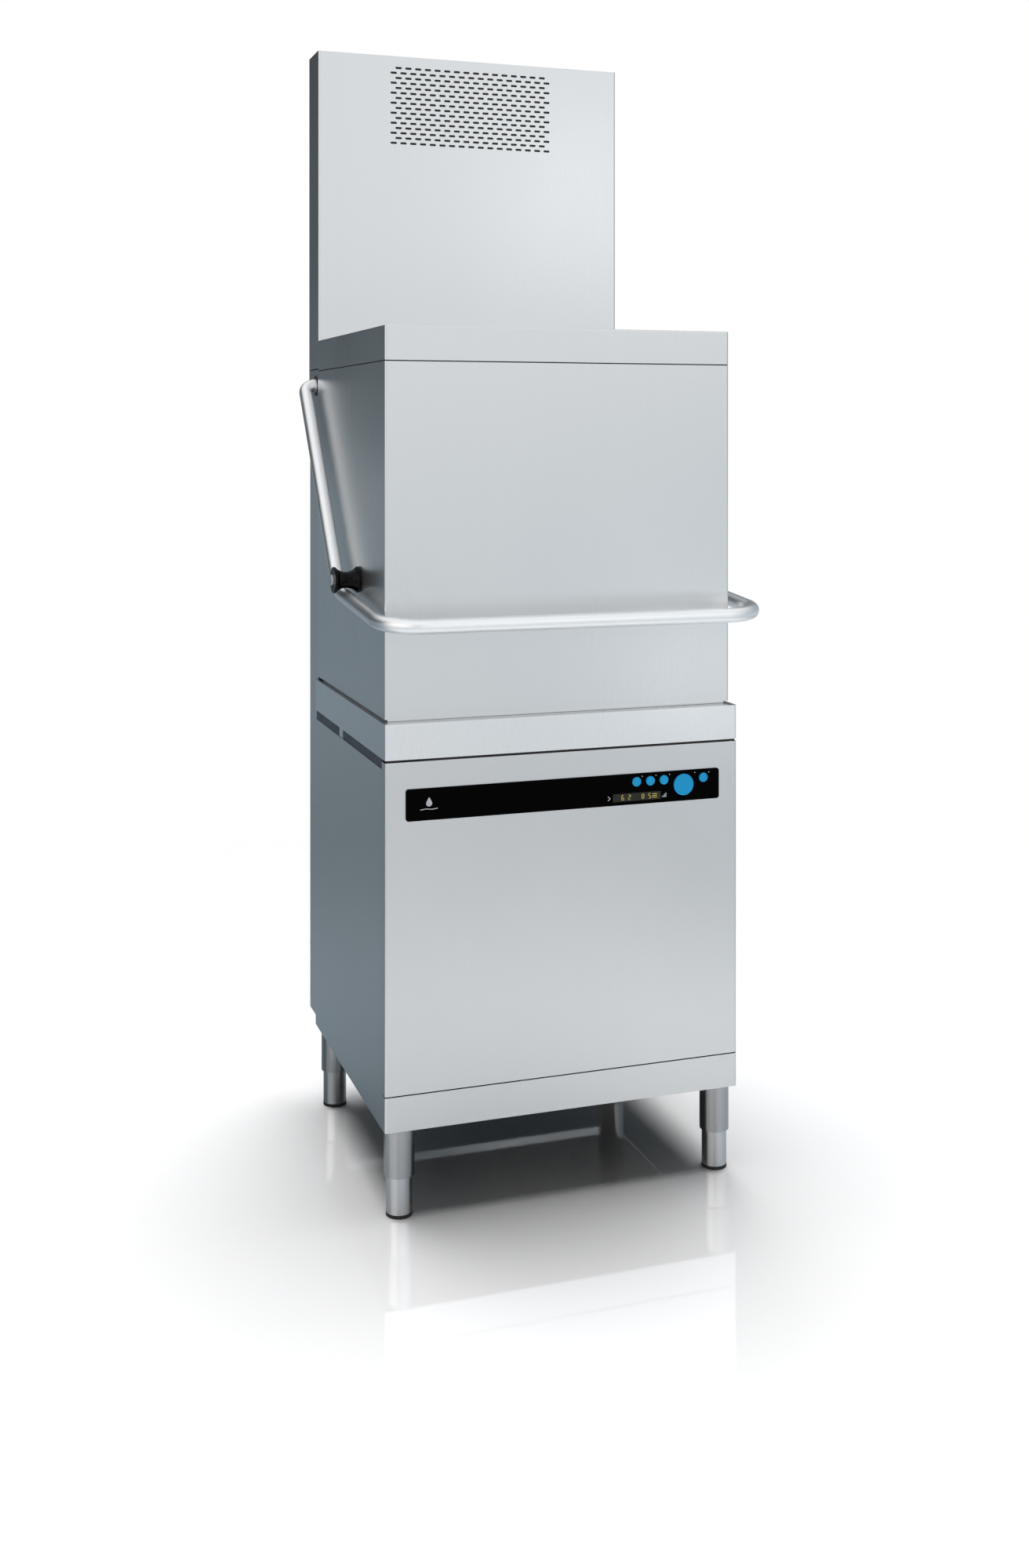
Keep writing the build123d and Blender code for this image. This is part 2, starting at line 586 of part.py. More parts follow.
def spring_plug(z, way):
    """Threaded end plug and its hook rod; way is +1 where the coil is above the plug."""
    core = column(SPRING_X, SPRING_Y, *sorted((z - way * 5, z + way * 9)), SPRING_R - WIRE_R - 0.2)
    flange = column(SPRING_X, SPRING_Y, *sorted((z - way * 5, z - way * 1.8)), 12)
    return core + flange + column(SPRING_X, SPRING_Y, *sorted((z, z - way * 22)), 2.8)


def lift_springs():
    z0, z1 = SPRING_Z
    coil = Helix(pitch=(z1 - z0) / 41, height=z1 - z0, radius=SPRING_R)
    wire = sweep(Plane(origin=coil @ 0, z_dir=coil % 0) * Circle(WIRE_R), path=coil, is_frenet=True)
    parts = [Pos(SPRING_X, SPRING_Y, z0) * wire, spring_plug(z0, 1), spring_plug(z1, -1)]
    return group(parts + [mirrored(part) for part in parts])


def handle_bail():
    side = [(-297, PIVOT_Y, PIVOT_Z), (-ARM_X, PIVOT_Y, PIVOT_Z), (-ARM_X, KNEE_Y, KNEE_Z)]
    side.append((-ARM_X, BAR_Y, BAR_Z))
    points = side + [(-x, y, z) for x, y, z in reversed(side)]
    bends = (20, KNEE_R, CORNER_R, CORNER_R, KNEE_R, 20)
    return pipe(points, bends, TUBE_R, TUBE_R - TUBE_WALL)


# ---- node list ----------------------------------------------------------
NODES = {
    "base_frame": base_frame,
    "side_panel_right": side_panel,
    "side_panel_left": lambda: mirrored(side_panel()),
    "front_panel": front_panel,
    "kick_panel": kick_panel,
    "rim_frame": rim_frame,
    "wash_tank": wash_tank,
    "tank_strainers": lambda: both(strainer()),
    "pump_filter": pump_filter,
    "rack_guide": rack_guide,
    "chamber_rear_wall": chamber_rear_wall,
    "column_lower_front": column_lower_front,
    "column_sides": lambda: both(column_side()),
    "column_front_panel": column_front_panel,
    "column_rear_upper": column_rear_upper,
    "column_rear_lower": column_rear_lower,
    "column_top_cap": column_top_cap,
    "cover_screws": cover_screws,
    "hood_rails": lambda: both(hood_rail()),
    "pivot_bushes": lambda: both(pivot_bush()),
    "wash_riser": wash_riser,
    "wash_pump": wash_pump,
    "rinse_boiler": rinse_boiler,
    "rinse_pump": rinse_pump,
    "tank_heater": tank_heater,
    "heat_exchanger": heat_exchanger,
    "fan_housing": fan_housing,
    "fan_impeller": fan_impeller,
    "drain_spigot": drain_spigot,
    "water_inlet": water_inlet,
    "cable_gland": cable_gland,
    "control_strip": control_strip,
    "display_window": display_window,
    "control_board": control_board,
    "start_button": lambda: button(*START_BUTTON, START_R, 1.5),
    "wash_arm_lower": lambda: wash_arm(788, 1, 203),
    "wash_arm_upper": lambda: wash_arm(1288, -1, 235),
    "rinse_arm_lower": lambda: rinse_arm(809, 1, 200),
    "rinse_arm_upper": lambda: rinse_arm(1267, -1, 222),
    "hood_shell": hood_shell,
    "hood_cap": hood_cap,
    "hood_carriages": lambda: both(hood_carriage()),
    "glide_shoes": glide_shoes,
    "spool_axles": lambda: both(spool_axle()),
    "lift_springs": lift_springs,
    "spool_right": spool,
    "spool_left": lambda: mirrored(spool()),
    "handle_bail": handle_bail,
}

os.makedirs("parts", exist_ok=True)
for name, make in NODES.items():
    export_step(make(), f"parts/{name}.step")
for index, (x, z) in enumerate(SMALL_BUTTONS, start=1):
    export_step(button(x, z, SMALL_R, 1.2), f"parts/button_{index}.step")
for corner, (x, y) in zip(("front_left", "front_right", "rear_left", "rear_right"), leg_positions()):
    export_step(foot_tube(x, y), f"parts/foot_{corner}.step")
    export_step(foot_pad(x, y), f"parts/pad_{corner}.step")
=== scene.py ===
import json
from math import cos, pi, radians, sin
import bmesh
import bpy
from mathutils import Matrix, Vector


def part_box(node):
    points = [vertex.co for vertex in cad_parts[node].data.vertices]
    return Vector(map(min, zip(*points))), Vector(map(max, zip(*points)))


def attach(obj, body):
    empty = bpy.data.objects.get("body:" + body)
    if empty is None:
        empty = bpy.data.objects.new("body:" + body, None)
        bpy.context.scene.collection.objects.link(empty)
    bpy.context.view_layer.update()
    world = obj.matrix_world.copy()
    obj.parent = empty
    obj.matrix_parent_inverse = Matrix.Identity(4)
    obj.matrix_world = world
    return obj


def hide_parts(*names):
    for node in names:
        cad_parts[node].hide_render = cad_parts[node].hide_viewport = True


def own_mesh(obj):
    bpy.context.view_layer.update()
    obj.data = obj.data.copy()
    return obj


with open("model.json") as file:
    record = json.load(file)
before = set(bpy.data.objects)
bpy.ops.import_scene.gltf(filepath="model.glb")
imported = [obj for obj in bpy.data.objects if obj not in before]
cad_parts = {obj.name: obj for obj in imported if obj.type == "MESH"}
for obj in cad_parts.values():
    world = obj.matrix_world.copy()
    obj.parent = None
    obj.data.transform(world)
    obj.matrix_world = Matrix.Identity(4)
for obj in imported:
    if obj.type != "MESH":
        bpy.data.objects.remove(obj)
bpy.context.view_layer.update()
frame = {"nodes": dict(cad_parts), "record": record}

NODES = frame["nodes"]


# ---- node helpers -------------------------------------------------------
def ranged(tree, value, x0, x1, y0=0.0, y1=1.0):
    """A value taken from x0..x1 to y0..y1, and held at the ends."""
    node = tree.nodes.new("ShaderNodeMapRange")
    tree.links.new(value, node.inputs["Value"])
    for key, number in zip(("From Min", "From Max", "To Min", "To Max"), (x0, x1, y0, y1)):
        node.inputs[key].default_value = number
    return node.outputs["Result"]


def pick(tree, factor, a, b):
    """Colour a, or b where factor is 1; either may be a socket or a colour."""
    mix = tree.nodes.new("ShaderNodeMix")
    mix.data_type = "RGBA"
    tree.links.new(factor, mix.inputs["Factor"])
    for key, value in (("A", a), ("B", b)):
        if isinstance(value, tuple):
            mix.inputs[key].default_value = (*value, 1)
        else:
            tree.links.new(value, mix.inputs[key])
    return mix.outputs["Result"]


def scaled(tree, color, factor):
    node = tree.nodes.new("ShaderNodeVectorMath")
    node.operation = "SCALE"
    tree.links.new(color, node.inputs[0])
    tree.links.new(factor, node.inputs["Scale"])
    return node.outputs["Vector"]


def add(tree, a, b):
    node = tree.nodes.new("ShaderNodeMath")
    node.operation = "ADD"
    tree.links.new(a, node.inputs[0])
    tree.links.new(b, node.inputs[1])
    return node.outputs[0]


# ---- material helpers ---------------------------------------------------
NOISE_SPAN = (0.3, 0.7)   # nearly all of a noise field lies between these


def shader_of(mat):
    return mat.node_tree.nodes["Principled BSDF"]


def new_material(name, color, metallic, roughness, **sockets):
    """A Principled material; further sockets are named with _ for each space."""
    mat = bpy.data.materials.new(name)
    mat.use_nodes = True
    shader = shader_of(mat)
    shader.inputs["Base Color"].default_value = (*color, 1)
    shader.inputs["Metallic"].default_value = metallic
    shader.inputs["Roughness"].default_value = roughness
    for key, value in sockets.items():
        shader.inputs[key.replace("_", " ")].default_value = value
    return mat


def noise(mat, scale, stretch=(1, 1, 1), detail=4.0, seed=0.0):
    """A noise field in the row frame, in features per metre, stretched along an axis."""
    nodes, links = mat.node_tree.nodes, mat.node_tree.links
    coord = nodes.new("ShaderNodeTexCoord")
    place = nodes.new("ShaderNodeMapping")
    place.inputs["Scale"].default_value = stretch
    place.inputs["Location"].default_value = (seed, seed * 0.7, seed * 1.3)
    field = nodes.new("ShaderNodeTexNoise")
    field.inputs["Scale"].default_value = scale
    field.inputs["Detail"].default_value = detail
    links.new(coord.outputs["Object"], place.inputs["Vector"])
    links.new(place.outputs["Vector"], field.inputs["Vector"])
    return field.outputs["Fac"]


def remap(mat, field, low, high):
    """A noise field spread from low to high."""
    return ranged(mat.node_tree, field, *NOISE_SPAN, low, high)


def tint(mat, field, dark, light):
    color = pick(mat.node_tree, field, dark, light)
    mat.node_tree.links.new(color, shader_of(mat).inputs["Base Color"])


def rough(mat, field):
    mat.node_tree.links.new(field, shader_of(mat).inputs["Roughness"])


def bump(mat, field, distance, strength):
    node = mat.node_tree.nodes.new("ShaderNodeBump")
    node.inputs["Distance"].default_value = distance
    node.inputs["Strength"].default_value = strength
    mat.node_tree.links.new(field, node.inputs["Height"])
    mat.node_tree.links.new(node.outputs["Normal"], shader_of(mat).inputs["Normal"])


# ---- materials ----------------------------------------------------------
# How a steel's grain noise is stretched.
UPRIGHT = (1, 1, 0.002)     # long lines along Z
CROSSWISE = (0.002, 1, 1)   # long lines along X
DRAWN = (1, 1, 0.02)        # shorter lines along Z, for legs and feet
EVEN = (1, 1, 1)            # no direction

LINE_GLOSS = 0.010        # the grain lines change the roughness by up to this much
TONE_SPAN = 0.013         # the colour drifts by up to this share
STREAK_SHARE = 0.35       # part of that drift that follows the grain
STREAK_WIDTH = 8          # those streaks are this many grain lines wide
MILLIMETRE = 0.001


def brushed_steel(name, color, roughness, grain=UPRIGHT, scale=2600, smear=0.02, swell=0.03):
    """Satin sheet: grain lines and handling marks in its gloss, a little tonal drift, and a swell in mm."""
    mat = new_material(name, color, 1.0, roughness)
    tree = mat.node_tree
    lines = noise(mat, scale, grain, detail=2)
    streaks = noise(mat, scale / STREAK_WIDTH, grain, detail=1, seed=7.0)
    patches = noise(mat, scale=4, stretch=(1, 1, 0.7), detail=3, seed=4.0)
    dents = noise(mat, scale=2.6, stretch=(1, 1, 0.6), detail=1, seed=9.0)
    fine = remap(mat, lines, -LINE_GLOSS, LINE_GLOSS)
    rough(mat, add(tree, fine, remap(mat, patches, roughness - smear, roughness + smear)))
    darker = tuple(c * (1 - TONE_SPAN) for c in color)
    lighter = tuple(min(1, c * (1 + TONE_SPAN)) for c in color)
    drift = add(tree, remap(mat, streaks, 0.0, STREAK_SHARE), remap(mat, patches, 0.0, 1 - STREAK_SHARE))
    tint(mat, drift, darker, lighter)
    bump(mat, remap(mat, dents, 0, swell), MILLIMETRE, 1.0)
    return mat


def plastic(name, color, roughness, grain=0.00005, scale=1600, **sockets):
    """Moulded or painted surface: fine grain, grain metres deep, and broad changes of gloss."""
    mat = new_material(name, color, 0.0, roughness, **sockets)
    fine = noise(mat, scale, detail=5)
    broad = noise(mat, scale=14, seed=3.0)
    glossier, duller = roughness * 0.85, roughness * 1.2 + 0.01
    darker = tuple(c * 0.9 for c in color)
    lighter = tuple(min(1, c * 1.12) for c in color)
    rough(mat, remap(mat, broad, glossier, duller))
    tint(mat, remap(mat, fine, 0, 1), darker, lighter)
    bump(mat, fine, grain, 0.5)
    return mat


STEELS = {
    "steel_panel": dict(color=(0.665, 0.675, 0.682), roughness=0.30),
    "steel_hood": dict(color=(0.715, 0.725, 0.729), roughness=0.29),
    "steel_inner": dict(color=(0.60, 0.61, 0.62), roughness=0.34, grain=CROSSWISE, smear=0.07),
    "steel_tube": dict(color=(0.91, 0.92, 0.93), roughness=0.36, grain=EVEN, scale=900, swell=0.0),
    "steel_foot": dict(color=(0.56, 0.57, 0.58), roughness=0.20, grain=DRAWN, scale=1500, swell=0.0),
    "steel_rail": dict(color=(0.55, 0.56, 0.57), roughness=0.42, grain=(1, 1, 0.3), scale=300),
    "spring_steel": dict(color=(0.33, 0.34, 0.36), roughness=0.35, grain=EVEN, scale=900, swell=0.0),
    "fastener": dict(color=(0.62, 0.63, 0.64), roughness=0.3, grain=EVEN, scale=900, swell=0.0),
    "alu_fins": dict(color=(0.74, 0.75, 0.76), roughness=0.36, grain=(1, 1, 0.2), scale=600),
    "brass_valve": dict(color=(0.62, 0.44, 0.18), roughness=0.35, grain=(1, 0.1, 1), scale=600),
}
PLASTICS = {
    "rubber_black": dict(color=(0.022, 0.022, 0.023), roughness=0.72, grain=0.0002, scale=900),
    "gloss_black": dict(color=(0.0015, 0.0015, 0.0018), roughness=0.16, grain=0.00001, scale=700,
                        Specular_IOR_Level=0.015),
    "roller_black": dict(color=(0.0012, 0.0012, 0.0016), roughness=0.08, grain=0.00001, scale=700,
                         Specular_IOR_Level=0.12),
    "button_blue": dict(color=(0.003, 0.40, 0.82), roughness=0.22, grain=0.00002, scale=900,
                        Specular_IOR_Level=0.3),
    "display_dark": dict(color=(0.030, 0.030, 0.022), roughness=0.2, grain=0.000005, scale=700,
                         Specular_IOR_Level=0.2),
    "board_green": dict(color=(0.02, 0.12, 0.05), roughness=0.45),
    "plastic_white": dict(color=(0.72, 0.72, 0.69), roughness=0.5),
    "plastic_grey": dict(color=(0.16, 0.165, 0.17), roughness=0.5),
    "plastic_black": dict(color=(0.02, 0.02, 0.02), roughness=0.5, grain=0.0001),
    "pump_paint": dict(color=(0.07, 0.08, 0.09), roughness=0.45, grain=0.0001, scale=500),
}
TRAY_UNDERSIDE = (0.1462, 0.1464)   # the painted shade begins over this height, just under the tray
# near black, painted on the tray's underside as shade
UNDERSIDE_SHADE = (0.012, 0.012, 0.013)


def tray_steel():
    """Leg steel on the sleeves, painted darker than on the feet as shade, and a near-black painted shade on
    the floor tray's underside over them.
    """
    mat = brushed_steel("steel_tray", (0.40, 0.41, 0.42), 0.20, DRAWN, 1500, swell=0.0)
    tree = mat.node_tree
    split = tree.nodes.new("ShaderNodeSeparateXYZ")
    tree.links.new(tree.nodes.new("ShaderNodeTexCoord").outputs["Object"], split.inputs[0])
    base = shader_of(mat).inputs["Base Color"]
    plain = base.links[0].from_socket
    shaded_below = ranged(tree, split.outputs["Z"], *TRAY_UNDERSIDE)
    tree.links.new(pick(tree, shaded_below, plain, UNDERSIDE_SHADE), base)
    return mat


def rim_steel():
    return brushed_steel("steel_rim", (0.81, 0.82, 0.827), 0.28)


MATERIALS = {slot: brushed_steel(slot, **look) for slot, look in STEELS.items()}
MATERIALS.update({slot: plastic(slot, **look) for slot, look in PLASTICS.items()})
SPECIAL = {"base_frame": tray_steel(), "rim_frame": rim_steel()}
SLOT_OF = {part["node"]: part["material_slot"] for part in frame["record"]["subparts"]}
for name, obj in NODES.items():
    obj.data.materials.clear()
    obj.data.materials.append(SPECIAL.get(name) or MATERIALS[SLOT_OF[name]])


# ---- shape helpers ------------------------------------------------------
def rounded_outline(x0, x1, y0, y1, r, steps=6):
    points = []
    corners = ((x1 - r, y1 - r, 0), (x0 + r, y1 - r, 90), (x0 + r, y0 + r, 180), (x1 - r, y0 + r, 270))
    for cx, cy, start in corners:
        for i in range(steps + 1):
            angle = radians(start + 90 * i / steps)
            points.append((cx + r * cos(angle), cy + r * sin(angle)))
    return points


def add_piece(name, mesh, body, material):
    """Turns a bmesh into a piece that rides on a body."""
    bmesh.ops.recalc_face_normals(mesh, faces=mesh.faces)
    data = bpy.data.meshes.new(name)
    mesh.to_mesh(data)
    mesh.free()
    obj = bpy.data.objects.new(name, data)
    bpy.context.collection.objects.link(obj)
    data.materials.append(material)
    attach(obj, body)


def upright_plate(name, outlines, y, depth, material):
    """Outlines of points (x, z) in the plane at y, made depth thick towards the back, on the cabinet."""
    mesh = bmesh.new()
    for outline in outlines:
        front = [mesh.verts.new((x, y, z)) for x, z in outline]
        back = [mesh.verts.new((x, y + depth, z)) for x, z in outline]
        mesh.faces.new(front)
        mesh.faces.new(back[::-1])
        for i in range(len(outline)):
            j = (i + 1) % len(outline)
            mesh.faces.new((front[j], front[i], back[i], back[j]))
    add_piece(name, mesh, "cabinet", material)


# ---- springs, seals and vent screen -------------------------------------
SHEET = 0.0015            # stainless sheet of the side panels


def springs_that_close():
    """A copy of the balance springs, carried by the hood in place of the CAD springs, which are hidden."""
    node = NODES["lift_springs"]
    springs = bpy.data.objects.new("balance_springs", node.data.copy())
    bpy.context.collection.objects.link(springs)
    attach(springs, "hood")
    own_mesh(springs)
    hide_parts("lift_springs")


def cap_seam_shade():
    """Painted shade: a thin black band in the open seam between the hood and its cap, darkening that seam.
    """
    low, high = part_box("hood_cap")
    bottom, top = low.z - 0.0020, low.z - 0.0002
    setback, width, corner = 0.0006, 0.001, 0.0035
    mesh = bmesh.new()
    loops = []
    for inset, radius in ((setback, corner), (setback + width, corner - width)):
        half = high.x - inset
        line = rounded_outline(-half, half, low.y + inset, high.y - inset, radius)
        for z in (bottom, top):
            loops.append([mesh.verts.new((x, y, z)) for x, y in line])
    for a, b in ((0, 1), (1, 3), (3, 2), (2, 0)):
        for i in range(len(loops[0])):
            j = (i + 1) % len(loops[0])
            mesh.faces.new((loops[a][i], loops[a][j], loops[b][j], loops[b][i]))
    add_piece("cap_seam_shade", mesh, "hood", MATERIALS["rubber_black"])


def front_gap_shade():
    """Painted shade: a black strip in the gap between the front panel and the rim, darkening that gap."""
    low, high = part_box("front_panel")
    half = high.x - 2 * SHEET
    bottom, top, corner = high.z + 0.0002, high.z + 0.0038, 0.0008
    setback, depth = 0.0025, 0.003
    strip = rounded_outline(-half, half, bottom, top, corner)
    # painted shade: the strip is black to darken the gap
    shade_black = MATERIALS["rubber_black"]
    upright_plate("front_gap_shade", [strip], low.y + setback, depth, shade_black)


def side_gap_shades():
    """Painted shade: dark grey strips in the gaps between the side panels and the rim, standing in for the
    shade in those recesses.
    """
    low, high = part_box("side_panel_left")
    outer, inner = low.x + SHEET, low.x + 2 * SHEET
    bottom, top, corner = high.z - 0.001, high.z + 0.022, 0.0005
    setback = 0.003
    depth = high.y - low.y - 2 * setback
    # painted shade: the blue-grey of the shaded recess
    gap_shade_grey = plastic("gap_shade_grey", (0.030, 0.040, 0.050), 0.5)
    for name, x0, x1 in (("side_gap_shade_left", outer, inner), ("side_gap_shade_right", -inner, -outer)):
        strip = rounded_outline(x0, x1, bottom, top, corner)
        upright_plate(name, [strip], low.y + setback, depth, gap_shade_grey)


def vent_slot_shade():
    """Painted shade: a black sheet behind the slots of the column's vent, so that the slots look dark."""
    low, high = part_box("column_front_panel")
    half = 0.178
    bottom, top, corner = high.z - 0.1775, high.z - 0.0215, 0.003
    setback, thickness = 0.0022, 0.0005
    screen = rounded_outline(-half, half, bottom, top, corner)
    black = MATERIALS["plastic_black"]
    upright_plate("vent_slot_shade", [screen], low.y + setback, thickness, black)


springs_that_close()
# painted shade: a black band in the hood-cap seam
cap_seam_shade()
# painted shade: a black strip in the gap over the front panel
front_gap_shade()
# painted shade: dark strips in the side gaps under the rim
side_gap_shades()
# painted shade: a black sheet behind the vent slots
vent_slot_shade()


# ---- control strip print ------------------------------------------------
PRINT = 0.00015           # thickness of the printed marks
SINK = 1.3                # they are this many times as deep, so that they reach into the strip
SEGMENTS = {"2": "abged", "5": "afgcd", "6": "afgedc", "8": "abcdefg"}
FIGURES = "62 85"
strip_low, strip_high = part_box("control_strip")
view_low, view_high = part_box("display_window")
strip_mid = (strip_low.z + strip_high.z) / 2
view_mid = (view_low.z + view_high.z) / 2
print_white = plastic("print_white", (0.62, 0.64, 0.66), 0.5)
digit_yellow = plastic("digit_yellow", (0.50, 0.44, 0.10), 0.5, Emission_Color=(0.9, 0.75, 0.15, 1),
                       Emission_Strength=0.12)


def bar(x0, z0, x1, z1, width):
    """A straight stroke between two points, as an outline."""
    along = Vector((x1 - x0, z1 - z0)).normalized() * width / 2
    side = Vector((-along.y, along.x))
    a, b = Vector((x0, z0)), Vector((x1, z1))
    return [tuple(p) for p in (a - side, b - side, b + side, a + side)]


def disc(x, z, r, steps=10):
    return [(x + r * cos(2 * pi * i / steps), z + r * sin(2 * pi * i / steps)) for i in range(steps)]


def drop(x, z, r, steps=24):
    """A water drop standing on its round end: a circle drawn up and in towards its top."""
    narrowing, rise = 0.55, 0.9
    points = []
    for i in range(steps):
        a = 2 * pi * i / steps - pi / 2
        pull = max(0.0, sin(a)) ** 3
        points.append((x + r * cos(a) * (1 - narrowing * pull), z + r * sin(a) + rise * r * pull))
    return points


def digit(shape, x, z, height):
    """Seven-segment digit; shape lists the lit segments a to g, whose ends stop short of the corners."""
    w, h, t = height * 0.5, height / 2, height * 0.15
    short = 0.6 * t
    ends = {"a": (0, 2 * h, w, 2 * h), "b": (w, h, w, 2 * h), "c": (w, 0, w, h), "d": (0, 0, w, 0),
            "e": (0, 0, 0, h), "f": (0, h, 0, 2 * h), "g": (0, h, w, h)}
    strokes = []
    for key in shape:
        x0, z0, x1, z1 = ends[key]
        trim_x, trim_z = (short, 0) if z0 == z1 else (0, short)
        strokes.append(bar(x + x0 + trim_x, z + z0 + trim_z, x + x1 - trim_x, z + z1 - trim_z, t))
    return strokes


def printed(name, outlines, material, face=strip_low.y):
    upright_plate(name, outlines, face - PRINT, PRINT * SINK, material)


def emblem():
    """A plain water drop over three wave strokes, near the strip's left end."""
    centre, drop_z, drop_radius = -0.243, strip_mid + 0.0015, 0.0052
    pitch, stroke = 0.010, 0.0013
    left = centre - 1.5 * pitch
    trough, crest = strip_mid - 0.0085, strip_mid - 0.0073
    outlines = [drop(centre, drop_z, drop_radius)]
    for i, (z0, z1) in enumerate(((trough, crest), (crest, trough), (trough, crest))):
        outlines.append(bar(left + pitch * i, z0, left + pitch * (i + 1), z1, stroke))
    printed("strip_emblem", outlines, print_white)


def button_dots():
    """A dot at the upper right of each button."""
    aside, below, radius = 0.0016, 0.0008, 0.0010
    names = [f"button_{i}" for i in (1, 2, 3, 4)] + ["start_button"]
    corners = [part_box(name)[1] for name in names]
    dots = [disc(corner.x + aside, corner.z - below, radius) for corner in corners]
    printed("strip_button_dots", dots, print_white)


def display_icons():
    """An arrow head pointing at the display, and four growing strokes to its right."""
    stroke = 0.0012
    outer, tip, spread = view_low.x - 0.0095, view_low.x - 0.0045, 0.0035
    icons = [bar(outer, view_mid + spread, tip, view_mid - 0.0005, stroke),
             bar(outer, view_mid - spread, tip, view_mid + 0.0003, stroke)]
    first, pitch, growth = view_high.x + 0.003, 0.0022, 0.0018
    bottom, shortest_top = view_mid - 0.004, view_mid - 0.002
    for i in range(4):
        x = first + pitch * i
        icons.append(bar(x, bottom, x, shortest_top + growth * i, stroke))
    printed("strip_display_icons", icons, print_white)


def display_figures():
    """Two plain numbers and three short lines, lit a little."""
    first, pitch, height = view_low.x + 0.016, 0.0125, 0.008
    lit = []
    for index, figure in enumerate(FIGURES):
        if figure != " ":
            lit += digit(SEGMENTS[figure], first + pitch * index, view_mid - height / 2, height)
    line_start, line_end, spacing, stroke = view_high.x - 0.016, view_high.x - 0.007, 0.003, 0.0011
    for row in (-1, 0, 1):
        z = view_mid + spacing * row
        lit.append(bar(line_start, z, line_end, z, stroke))
    printed("display_figures", lit, digit_yellow, view_low.y)


emblem()
button_dots()
display_icons()
display_figures()


# ---- stage --------------------------------------------------------------
# What the steel mirrors: the studio's brightness by bearing, where 0 is the way the front looks (-Y)
# and 90 is to the right (+X). HORIZON is at eye height, HIGH above it and GROUND on the floor.
HORIZON = ((-180, 0.11), (-110, 0.06), (-98, 0.08), (-86, 0.90), (-74, 1.3), (-42, 1.35), (-30, 1.0),
           (-22, 0.42), (-10, 0.50), (2, 1.0), (18, 1.0), (32, 0.92), (46, 0.52), (70, 0.36), (100, 0.32),
           (140, 0.55), (166, 0.92), (176, 0.12))
HIGH = ((-180, 0.05), (-98, 0.04), (-84, 1.1), (-44, 1.3), (-18, 0.60), (2, 0.97), (32, 0.97), (60, 0.66),
        (110, 0.40), (136, 0.30), (146, 0.05), (176, 0.05))
GROUND = ((-180, 0.42), (-110, 0.20), (-98, 0.24), (-80, 0.80), (-40, 0.92), (26, 0.93), (100, 0.60),
          (166, 0.90), (178, 0.44))
CEILING = (0.95, 0.96, 0.97)
# Heights at which one gives way to the next, as the sine of the angle above the horizon.
HORIZON_TO_HIGH = (0.0, 0.16)
HIGH_TO_CEILING = (0.48, 0.75)
DRIFT = (0.94, 1.05)      # slow changes over all of it, from a noise of this scale and span
DRIFT_SCALE = 2.2
DRIFT_SPAN = (0.35, 0.65)

LIT = (1.0, 1.0, 1.0)          # the backdrop itself
AMBIENT = (0.18, 0.18, 0.18)   # light on dull surfaces from overhead
DIM = (0.004, 0.004, 0.004)    # and from the sides
DIM_TO_AMBIENT = (0.4, 0.6)    # heights, as above

FLOOR = (0.88, 0.88, 0.885)
FLOOR_IOR = 2.3
FLOOR_ROUGHNESS = 0.04
FLOOR_SIZE = 60
FLOOR_TO_BACKDROP = (1.3, 2.6)   # metres from the origin over which it turns into the glowing backdrop
NEAR_FLOOR = 0.66                # the share of GROUND that nearby floor shows in a mirror
NEAR_TO_FAR = (2.2, 5.0)         # metres from the origin over which that grows to all of it

SUN_STRENGTH = 5.0
SUN_TILT = (-15, 3, 0)    # degrees
SUN_SPREAD = 52           # degrees

CAMERA_PLACE = (-0.9974, -2.9323, 1.2931)
CAMERA_TURN = -18.757     # degrees, level
LENS = 38.49              # mm
SENSOR = 36.0             # mm, along the frame's longer side
SHIFT = -0.2246           # share of that side


def bearing(tree, direction):
    """Turn of a direction about Z, from 0 at -180 degrees to 1 at 180, and its height."""
    split = tree.nodes.new("ShaderNodeSeparateXYZ")
    tree.links.new(direction, split.inputs[0])
    angle = tree.nodes.new("ShaderNodeMath")
    angle.operation = "ARCTAN2"
    tree.links.new(split.outputs["X"], angle.inputs[0])
    tree.links.new(ranged(tree, split.outputs["Y"], -1, 1, 1, -1), angle.inputs[1])
    return ranged(tree, angle.outputs[0], -pi, pi), split.outputs["Z"]


def ring_of_light(tree, turn, stops):
    """A tone for each bearing; darker stretches are a little bluer."""
    ramp = tree.nodes.new("ShaderNodeValToRGB")
    elements = ramp.color_ramp.elements
    elements.remove(elements[1])
    for index, (angle, value) in enumerate(stops):
        stop = elements[0] if index == 0 else elements.new(0.5 + angle / 360)
        stop.position = 0.5 + angle / 360
        red, blue = 0.72 + 0.27 * value, 1.20 - 0.19 * value
        stop.color = (value * red, value, value * blue, 1)
    tree.links.new(turn, ramp.inputs["Fac"])
    return ramp.outputs["Color"]


